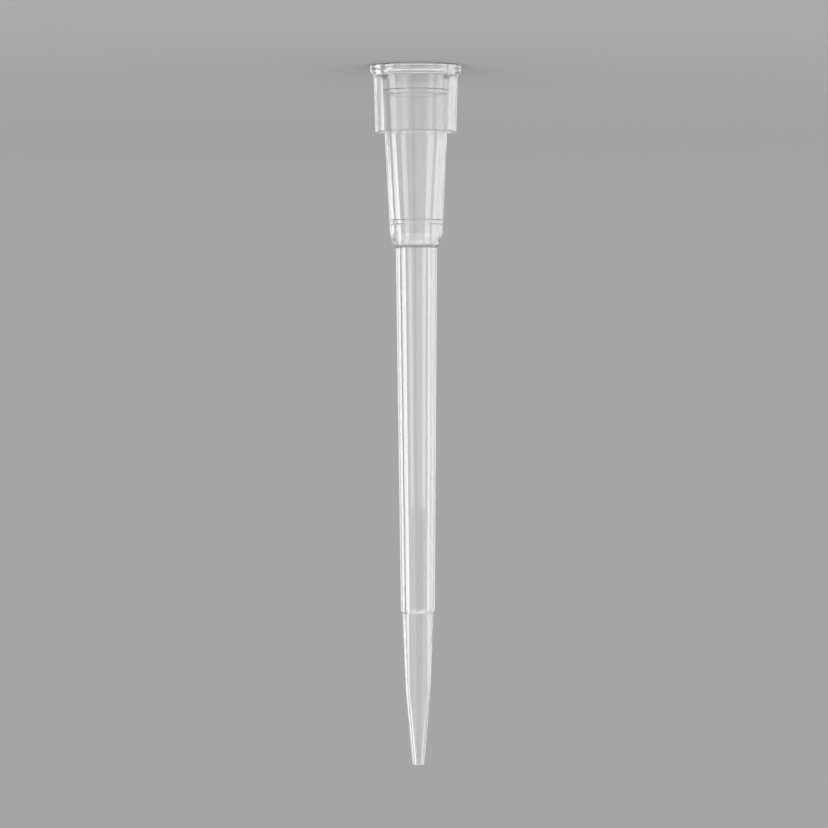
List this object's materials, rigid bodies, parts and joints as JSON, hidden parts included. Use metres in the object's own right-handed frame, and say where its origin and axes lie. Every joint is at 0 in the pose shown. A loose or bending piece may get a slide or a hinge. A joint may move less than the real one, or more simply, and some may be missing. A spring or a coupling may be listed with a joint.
{
  "type": "pipette tip",
  "caption": "Long fine-point pipette tip: a hollow tapered plastic tube whose collared, rimmed mouth pushes onto a pipette nozzle and whose point draws up and dispenses very small volumes.",
  "frame": {"origin": "centre of the mouth, in the plane of the rim's face that the tip stands on", "axes": "+Z along the tip's axis of revolution, from the mouth towards the point"},
  "size_m": [0.006, 0.006, 0.046],
  "materials": {
    "natural_polypropylene": "colourless, slightly hazy translucent polypropylene with a smooth moulded surface"
  },
  "bodies": {
    "root": {"pipette_tip": "natural_polypropylene"}
  },
  "joints": []
}
